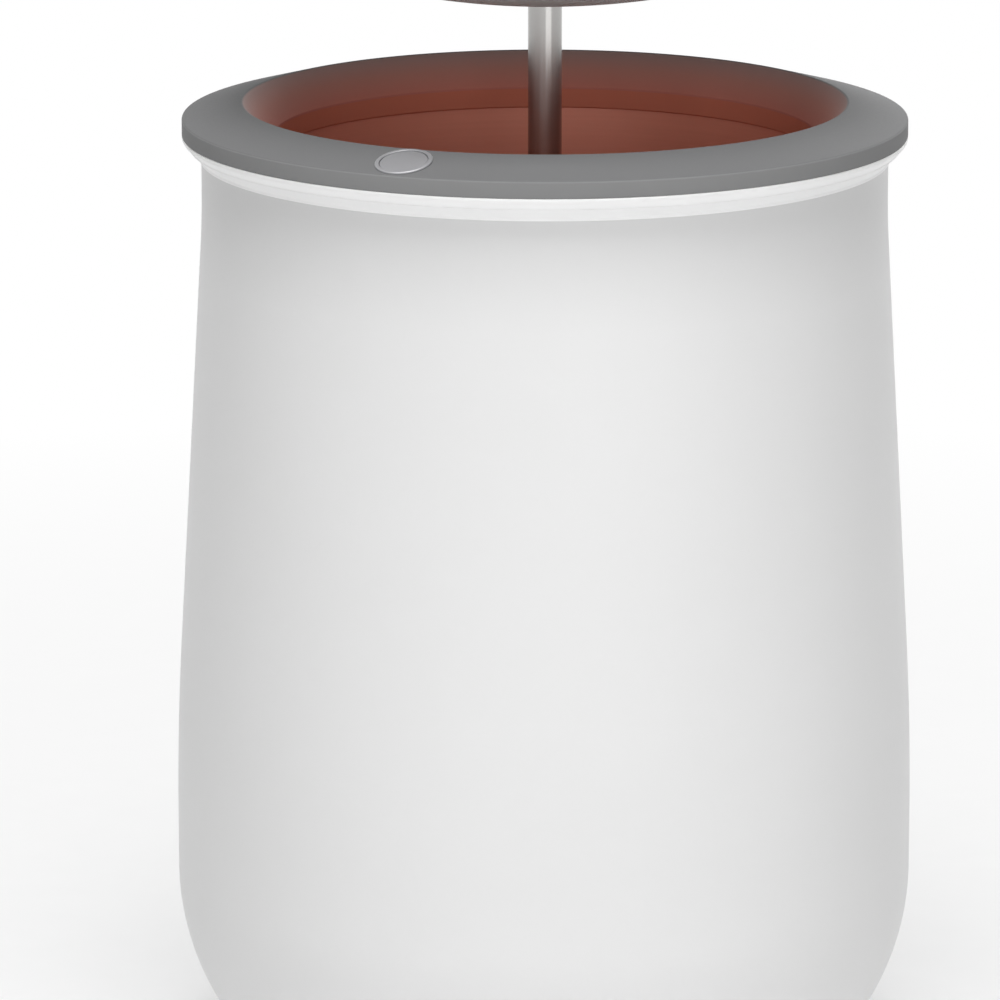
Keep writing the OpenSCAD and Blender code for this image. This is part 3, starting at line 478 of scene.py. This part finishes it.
def satin_paint(name, colour):
    """Silver paint over plastic, with the flake that it holds."""
    s = Shader(name, Metallic=0.45)
    flake = s.noise(2600, 2, 0.7)
    s.set("Base Color", s.blend(flake, tone(colour, 0.95), tone(colour, 1.05)))
    s.set("Roughness", s.spread(flake, 0.40, 0.50))
    s.bump(flake, 0.15, 0.00001)
    return s.material


def liner_with_painted_glow():
    """Aluminium painted a warm copper-brown that stands in for the red glow inside, with the
    shallow rings that spinning leaves.
    """
    s = Shader("liner_painted_glow", Metallic=0.2)
    rings = s.noise(60, 3, 0.6, (0.15, 0.15, 9))
    # Painted glow: the warm red-brown stands for the red glow light on the aluminium, not the
    # metal's own colour.
    base = s.blend(s.noise(9, 3), (0.68, 0.245, 0.165), (0.74, 0.27, 0.185))
    marks = s.blend(rings, (0.64, 0.225, 0.15), (0.78, 0.295, 0.205))
    s.set("Base Color", s.mix(0.25, base, marks))
    s.set("Roughness", s.spread(rings, 0.42, 0.52))
    s.bump(rings, 0.15, 0.0001)
    return s.material


def collar_finish():
    """Grey textured plastic outside the crest, with a painted highlight: the upright side and its
    rounded top edge are a lighter grey than the top. Funnel and skirt carry a painted red glow,
    warmer towards the bottom.
    """
    s = Shader("collar_plastic", Specular_IOR_Level=0.02)
    step, crest_in, crest_out = 0.0004, 0.0006, 0.0002
    fine = s.noise(1100, 2, 0.6)
    top = s.blend(s.noise(7, 3), (0.163, 0.164, 0.166), (0.174, 0.175, 0.177))
    # Painted highlight: the upright side and its rounded top edge are painted a lighter grey than
    # the sloped top, so the edge shows as a bright line.
    painted_side_mask = s.remap(s.height(), SIDE_TOP_Z - step, SIDE_TOP_Z, 1, 0)
    outer = s.mix(painted_side_mask, top, (0.255, 0.256, 0.257, 1))
    # Painted glow: the funnel is painted from grey at the crest to warm red towards the bottom, and
    # the skirt below it redder still, for the red glow inside the bucket.
    funnel_painted_glow = s.ramp(s.remap(s.height(), FUNNEL_LOW_Z, RIM_Z, 0, 1),
                    [(0.0, (0.62, 0.225, 0.175)), (0.5, (0.52, 0.24, 0.195)),
                     (1.0, (0.36, 0.26, 0.24))])
    skirt_glow_mask = s.remap(s.height(), FUNNEL_LOW_Z - step, FUNNEL_LOW_Z, 1, 0)
    inner = s.mix(skirt_glow_mask, funnel_painted_glow, (0.66, 0.215, 0.14, 1))
    inside = s.remap(s.radius(), CREST_R - crest_in, CREST_R + crest_out, 1, 0)
    s.set("Base Color", s.mix(inside, outer, inner))
    s.set("Roughness", s.spread(fine, 0.46, 0.56))
    s.bump(fine, 0.2, 0.00003)
    return s.material


def make_materials():
    """The material of each slot in the record."""
    return {
        "white_plastic": shell_finish(),
        "grey_plastic": collar_finish(),
        "lid_plastic": moulded("lid_plastic", (0.21, 0.211, 0.215), 0.40, 1100, 0.00003),
        "pan_plastic": moulded("pan_plastic", (0.50, 0.51, 0.505), 0.42, 1300, 0.00003),
        "black_plastic": plain("black_plastic", (0.03, 0.03, 0.032), 0.45),
        "white_nylon": plain("white_nylon", (0.72, 0.70, 0.65), 0.5),
        "silver_plastic": satin_paint("silver_satin", (0.35, 0.35, 0.363)),
        "rod_steel": drawn_metal("rod_steel", (0.43, 0.425, 0.415), 0.23, (1, 1, 0.01), 900),
        "screw_steel": plain("screw_steel", (0.5, 0.51, 0.53), 0.35, 1.0),
        "liner_aluminium": liner_with_painted_glow(),
        "plain_aluminium": drawn_metal("tube_aluminium", (0.6, 0.6, 0.61), 0.34, (1, 1, 0.02), 700),
        "silicone": plain("silicone", (0.5, 0.13, 0.06), 0.6),
        "black_rubber": moulded("black_rubber", (0.028, 0.028, 0.03), 0.7, 700, 0.00006, 0.1),
        "insulation": fibre("insulation", (0.74, 0.69, 0.54)),
        "circuit_board": plain("circuit_board", (0.04, 0.16, 0.07), 0.35),
        "blue_plastic": plain("blue_plastic", (0.04, 0.12, 0.32), 0.4),
        "green_plastic": plain("green_plastic", (0.07, 0.30, 0.10), 0.4),
        "brass": plain("brass", (0.62, 0.44, 0.16), 0.3, 1.0),
        "lead_sleeve": plain("lead_sleeve", (0.25, 0.03, 0.02), 0.7),
    }


# Pieces of the bucket

def wall_line(inward, end):
    """The body's outline, inward under its surface, from neck to an angle on the base's turn."""
    taper, turn = math.degrees(TAPER), math.degrees(TURN)
    neck_low = SHELL_TOP_Z - NECK_H
    bend_r = NECK_BEND / math.sin(TAPER)
    belly_arc = (TAPER_LOW_Z - BELLY_Z) / math.sin(TAPER)
    belly_r = (NECK_R + bend_r * (1 - math.cos(TAPER)) + belly_arc * (1 - math.cos(TAPER))
               + (neck_low - NECK_BEND - TAPER_LOW_Z) * math.tan(TAPER))
    end_r = belly_r - TURN_R * (1 - math.cos(TURN))
    end_z = TURN_Z - TURN_R * math.sin(TURN)
    base_arc = (end_z - FOOT_H) / (1 - math.sin(TURN))
    flat_r = end_r - base_arc * math.cos(TURN)
    points = arc((NECK_R + bend_r, neck_low), bend_r + inward, 180, 180 + taper, 10)
    belly = arc((belly_r - belly_arc, BELLY_Z), belly_arc - inward, taper, 0, 20)
    points += line(points[-1], belly[0], 16)[1:]
    points += belly
    points += arc((belly_r - TURN_R, TURN_Z), TURN_R - inward, 0, -turn, 28)
    points += arc((flat_r, FOOT_H + base_arc), base_arc - inward, -turn, end, 24)[1:]
    return points, flat_r, base_arc


def add_shell():
    outer, flat_r, base_arc = wall_line(0, -90)
    plate_top = FOOT_H + PLATE_T
    ledge_top = plate_top + WALL
    inner_end = -math.degrees(math.asin((FOOT_H + base_arc - ledge_top) / (base_arc - WALL)))
    inner = wall_line(WALL, inner_end)[0]
    hole_r = flat_r - RING_W
    ledge_r = hole_r - LEDGE_W
    rim_r = COLLAR_R - RIM_W
    chamfer, edge = 0.0004, 0.0005
    outline = [(rim_r, SHELL_TOP_Z - chamfer), (rim_r + chamfer, SHELL_TOP_Z)]
    outline += arc((COLLAR_R - edge, SHELL_TOP_Z - edge), edge, 90, 0, 4)
    outline += arc((COLLAR_R - LIP_R, SHELL_TOP_Z - LIP_H), LIP_R, 0, -45, 8)
    # The lip ends in a small bead: a hollow above it and a round edge under it
    bead_r, bead_h, hollow, under = NECK_R + 0.0007, 0.001, 0.0008, 0.0004
    outline += arc((bead_r + hollow, LIP_FOOT_Z + bead_h), hollow, 135, 180, 4)
    outline += arc((bead_r - under, LIP_FOOT_Z + under), under, 0, -90, 4)
    outline += [(NECK_R, LIP_FOOT_Z)]
    outline += outer
    outline += [(hole_r, FOOT_H), (hole_r, plate_top), (ledge_r, plate_top), (ledge_r, ledge_top)]
    outline += inner[::-1]
    outline += [(NECK_R - WALL, DECK_Z - WALL), (DECK_R, DECK_Z - WALL), (DECK_R, DECK_Z),
                (rim_r, DECK_Z)]
    shell = lathe("body_shell", outline)
    drill(shell, GLAND_FLANGE_R + SEAT_GAP, 0, 0.02, [gland_frame()])
    stand_for(shell, "outer_shell")


def add_collar():
    tilt, fall = math.degrees(SLOPE), math.degrees(FUNNEL_SLOPE)
    foot, edge, crest, mouth, chamfer = 0.0004, 0.001, 0.0015, 0.0012, 0.0005
    edge_in = edge * math.tan(math.radians((90 - tilt) / 2))
    reach = crest / math.sin(math.radians((180 - tilt - fall) / 2))
    crest_lean = math.radians((fall - tilt) / 2)
    skirt_low = FUNNEL_LOW_Z - SKIRT_H
    outline = [(TONGUE_IN_R, SHELL_TOP_Z - TONGUE_H), (TONGUE_OUT_R, SHELL_TOP_Z - TONGUE_H),
               (TONGUE_OUT_R, SHELL_TOP_Z)]
    outline += arc((COLLAR_R - foot, SHELL_TOP_Z + foot), foot, -90, 0, 4)
    outline += arc((COLLAR_R - edge, SIDE_TOP_Z - edge_in), edge, 0, 90 - tilt, 8)
    outline += arc((CREST_R + reach * math.sin(crest_lean), RIM_Z - reach * math.cos(crest_lean)),
                   crest, 90 - tilt, 90 + fall, 12)
    outline += arc((MOUTH_R + mouth, FUNNEL_LOW_Z + mouth / 4), mouth, 180 - fall * 0.4, 180, 3)
    outline += [(MOUTH_R, skirt_low + chamfer), (MOUTH_R + chamfer, skirt_low)]
    # The underside, from the skirt out to the side wall
    skirt_out, side_in = 0.1136, 0.1475
    outline += [(skirt_out, skirt_low), (skirt_out, FUNNEL_LOW_Z - 0.0012),
                (0.1232, RIM_Z - 0.005), (0.1262, RIM_Z - 0.003),
                (side_in, SIDE_TOP_Z - 0.0019), (side_in, SHELL_TOP_Z + 0.0033),
                (TONGUE_IN_R, SHELL_TOP_Z + 0.0005)]
    collar = lathe("collar_ring", outline)
    well_r, well_reach = 0.0107, 0.006
    drill(collar, well_r, -well_reach, well_reach, [button_frame()])
    stand_for(collar, "collar")


def add_liner():
    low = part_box("inner_liner")[0].z
    flange_r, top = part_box("inner_liner")[1].x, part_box("inner_liner")[1].z
    in_r = MOUTH_R + LINER_GAP
    out_r = in_r + LINER_WALL
    edge = 0.001
    centre = (in_r - LINER_CORNER_R, low + LINER_WALL + LINER_CORNER_R)
    outline = [(0, low)]
    outline += arc(centre, LINER_CORNER_R + LINER_WALL, -90, 0, 16)
    outline += [(out_r, top - LINER_WALL), (flange_r, top - LINER_WALL), (flange_r, top),
                (in_r + edge, top)]
    outline += arc((in_r + edge, top - edge), edge, 90, 180, 4)[1:]
    outline += arc(centre, LINER_CORNER_R, 0, -90, 16)
    outline += [(0, low + LINER_WALL)]
    liner = lathe("liner_pot", outline)
    hole_r, holes_r = 0.0018, 0.023025
    drill(liner, hole_r, low - 0.001, low + 0.003, ring_of_places(4, holes_r, 45), 32)
    stand_for(liner, "inner_liner")


def add_feet():
    foot_r, stem_r, lock_r, tip_r = 0.012, 0.0045, 0.0056, 0.0035
    plate_top = FOOT_H + PLATE_T
    tip_z = plate_top + 0.003
    corners = [(0, 0, 0), (foot_r - 0.0025, 0, 0.0005), (foot_r - 0.001, 0.001, 0.0006),
               (foot_r, FOOT_H, 0.0006), (stem_r, FOOT_H, 0), (stem_r, plate_top, 0),
               (lock_r, plate_top, 0.0003), (tip_r, tip_z, 0.0006), (0, tip_z, 0)]
    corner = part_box("rubber_feet")[1].x
    place_r = (corner - foot_r) * math.sqrt(2)
    feet = lathe("feet", rounded(corners), 96, places=ring_of_places(4, place_r, 45))
    stand_for(feet, "rubber_feet")


def add_gland():
    bore, neck, lock = 0.0035, 0.0065, 0.00825
    end, lock_low, lock_top = -0.007, -0.0058, -0.005
    corners = [(bore, end, 0), (neck, end, 0.0003), (lock, lock_low, 0.0003), (lock, lock_top, 0),
               (neck, lock_top, 0), (neck, 0, 0), (GLAND_FLANGE_R, 0, 0.0002),
               (GLAND_FLANGE_R, GLAND_FLANGE_T, 0.0013), (bore, GLAND_FLANGE_T, 0.0006)]
    gland = lathe("gland", rounded(corners), 128, places=[gland_frame()])
    stand_for(gland, "cord_gland")


def add_button():
    hole, well, body, lip = 0.0051, 0.0099, 0.0106, 0.01165
    low, floor_z, lip_z = -0.005, 0.0012 - 0.005, 0.0008
    corners = [(hole, low, 0), (body, low, 0.0003), (body, 0, 0), (lip, 0, 0.0001),
               (lip, lip_z, 0.0006), (well, lip_z, 0.0003), (well, floor_z, 0), (hole, floor_z, 0)]
    bezel = lathe("bezel", rounded(corners, 8), 128, places=[button_frame()])
    stand_for(bezel, "button_bezel")
    stem, hook, cap = 0.005, 0.0058, 0.0097
    tip, hook_low, hook_top, cap_low, cap_top = -0.0062, -0.0057, -0.0052, -0.0015, 0.0005
    corners = [(0, tip, 0), (hook - 0.0005, tip, 0), (hook, hook_low, 0), (hook, hook_top, 0),
               (stem, hook_top, 0), (stem, cap_low, 0), (cap, cap_low, 0.0002),
               (cap, cap_top, 0.0004), (0, cap_top, 0)]
    button = lathe("button_cap", rounded(corners, 8), 128, places=[button_frame()])
    stand_for(button, "power_button")


# Pieces of the lid

def add_lid():
    seal_low, seal_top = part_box("lid_seal")[0].z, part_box("lid_seal")[1].z
    seal_in, seal_out, seal_round = CREST_R - SEAL_HALF_W, CREST_R + SEAL_HALF_W, 0.0009
    seal = rounded([(seal_in, seal_low, seal_round), (seal_out, seal_low, seal_round),
                    (seal_out, seal_top, 0), (seal_in, seal_top, 0)])
    stand_for(lathe("seal", seal), "lid_seal")

    rim_r = seal_in - SEAT_GAP
    dish_z = seal_low - DISH_STEP + math.sqrt(DISH_R ** 2 - rim_r ** 2)
    flange_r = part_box("lid_pan")[1].x
    inner_r = DISH_R - PAN_WALL
    low, rim = lean(STUD_HOLE_R, DISH_R) - 90, lean(rim_r, DISH_R) - 90
    top = lean(rim_r - PAN_WALL, inner_r) - 90
    pan = arc((0, dish_z), DISH_R, low, rim, 48)
    pan += [(rim_r, seal_top), (flange_r, seal_top), (flange_r, seal_top + PAN_WALL),
            (rim_r - PAN_WALL, seal_top + PAN_WALL)]
    pan += arc((0, dish_z), inner_r, top, low, 48)
    stand_for(lathe("dish", pan), "lid_pan")

    side_r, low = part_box("lid_cover")[1].x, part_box("lid_cover")[0].z
    edge, foot, corner = 0.003, 0.0006, 0.002
    chord = side_r - edge
    dome_r = (chord ** 2 + DOME_RISE ** 2) / (2 * DOME_RISE)
    dome_z = low + COVER_SIDE + DOME_RISE - dome_r
    edge_z = dome_z + math.sqrt((dome_r - edge) ** 2 - chord ** 2)
    turn = math.degrees(math.atan2(edge_z - dome_z, chord))
    under_r = dome_r - COVER_WALL
    under = 90 - lean(side_r - COVER_WALL - corner, under_r)
    cover = [(side_r - COVER_WALL, low)]
    cover += arc((side_r - foot, low + foot), foot, -90, 0, 4)
    cover += arc((chord, edge_z), edge, 0, turn, 10)
    cover += arc((0, dome_z), dome_r, turn, 90 - lean(STUD_HOLE_R, dome_r), 48)[1:]
    cover += arc((0, dome_z), under_r, 90 - lean(STUD_HOLE_R, under_r), under, 48)
    cover += [(side_r - COVER_WALL, dome_z + under_r * math.sin(math.radians(under)) - corner)]
    stand_for(lathe("dome", cover), "lid_cover")


def add_rod():
    low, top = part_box("lift_rod")[0].z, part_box("lift_rod")[1].z
    rod_r, bore_r, stud_r = 0.007, 0.005, 0.005
    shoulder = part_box("lid_pan")[0].z
    bore_top = shoulder - 0.020
    corners = [(bore_r, low, 0.0003), (rod_r, low, 0.0005), (rod_r, shoulder, 0),
               (stud_r, shoulder, 0), (stud_r, top, 0.0005), (0, top, 0), (0, bore_top, 0),
               (bore_r, bore_top, 0)]
    rod = lathe("rod", rounded(corners), 128)
    pin_z = (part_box("rod_stop")[0].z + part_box("rod_stop")[1].z) / 2
    across = Matrix.Translation((0, 0, pin_z)) @ Matrix.Rotation(math.radians(90), 4, "Y")
    pin_hole_r, pin_reach = 0.00155, 0.01
    drill(rod, pin_hole_r, -pin_reach, pin_reach, [across], 48)
    stand_for(rod, "lift_rod")


def add_knob():
    low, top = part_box("lid_knob")[0].z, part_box("lid_knob")[1].z
    knob_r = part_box("lid_knob")[1].x
    height = top - low
    bore_r, bore_h, foot_h = 0.00505, 0.0143, 0.0015
    foot_r, waist_r, waist_arc = knob_r * 0.62, knob_r * 0.52, height * 0.55
    waist_z, flare_z = low + height * 0.33, low + height * 0.74
    outline = rounded([(bore_r, low, 0), (foot_r, low, 0.0004), (foot_r, low + foot_h, 0.0004),
                       (waist_r + 0.0006, low + foot_h, 0)])[:-1]
    outline += arc((waist_r + waist_arc, waist_z), waist_arc, 200, 145, 24)
    flare = rounded([outline[-1] + (0,), (knob_r, flare_z, 0.0012), (knob_r, top, 0.0024),
                     (0, top, 0)], 10)
    outline += flare[1:]
    outline += [(0, low + bore_h), (bore_r, low + bore_h)]
    stand_for(lathe("knob", outline, 192), "lid_knob")


def dress_nodes():
    """Gives every CAD node that stays in view the material of its slot."""
    for name, node in frame["nodes"].items():
        if not node.hide_render:
            node.data.materials.clear()
            node.data.materials.append(MATERIALS[SLOT_OF[name]])


# Floor and light

def add_stage():
    """A pale floor: it keeps the shadow near the object and runs out to white."""
    bm = bmesh.new()
    near, far, floor_half = 0.20, 1.2, 7
    bmesh.ops.create_grid(bm, x_segments=8, y_segments=8, size=floor_half)
    floor = finish_mesh("floor", bm, 32)
    s = Shader("floor", Roughness=0.8)
    s.set("Base Color", s.blend(s.noise(40, 2), grey(0.81), grey(0.83)))
    glow = s.add("ShaderNodeEmission")
    s.feed(glow, "Color", (1, 1, 1, 1))
    share = s.add("ShaderNodeMath", operation="MULTIPLY")
    s.feed(share, 0, s.seen())
    s.feed(share, 1, s.remap(s.radius(), near, far, 0.55, 1.0))
    mixer = s.add("ShaderNodeMixShader")
    s.links.new(share.outputs[0], mixer.inputs[0])
    s.links.new(s.surface.outputs[0], mixer.inputs[1])
    s.links.new(glow.outputs[0], mixer.inputs[2])
    s.links.new(mixer.outputs[0], s.nodes["Material Output"].inputs["Surface"])
    floor.data.materials.append(s.material)


def add_world(strength):
    world = bpy.data.worlds.new("world")
    world.use_nodes = True
    bpy.context.scene.world = world
    nodes = world.node_tree.nodes
    links = world.node_tree.links
    nodes.clear()
    output = nodes.new("ShaderNodeOutputWorld")
    mixer = nodes.new("ShaderNodeMixShader")
    links.new(seen_rays(nodes, links), mixer.inputs[0])
    for socket, level in ((1, strength), (2, 1.0)):
        light = nodes.new("ShaderNodeBackground")
        light.inputs["Color"].default_value = (1, 1, 1, 1)
        light.inputs["Strength"].default_value = level
        links.new(light.outputs[0], mixer.inputs[socket])
    links.new(mixer.outputs[0], output.inputs["Surface"])


def add_light(name, place, target_z, size, radiance):
    """A soft box that faces the object's axis, as bright all over as a surface of that radiance."""
    data = bpy.data.lights.new(name, "AREA")
    data.shape = "RECTANGLE"
    data.size, data.size_y = size
    data.energy = radiance * math.pi * size[0] * size[1]
    lamp = bpy.data.objects.new(name, data)
    bpy.context.scene.collection.objects.link(lamp)
    lamp.location = place
    aim = Vector((0, 0, target_z)) - Vector(place)
    lamp.rotation_euler = aim.to_track_quat("-Z", "Y").to_euler()
    lamp.visible_camera = False


MATERIALS = make_materials()
add_camera()
add_shell()
add_collar()
add_liner()
add_feet()
add_gland()
add_button()
add_lid()
add_rod()
add_knob()
dress_nodes()
add_stage()
add_world(WORLD_LIGHT)
for name, azimuth, distance, height, size, radiance in LAMPS:
    add_light(name, at_azimuth(azimuth, distance, height), LAMP_AIM_Z, size, radiance)

bpy.context.scene.view_settings.view_transform = "Standard"
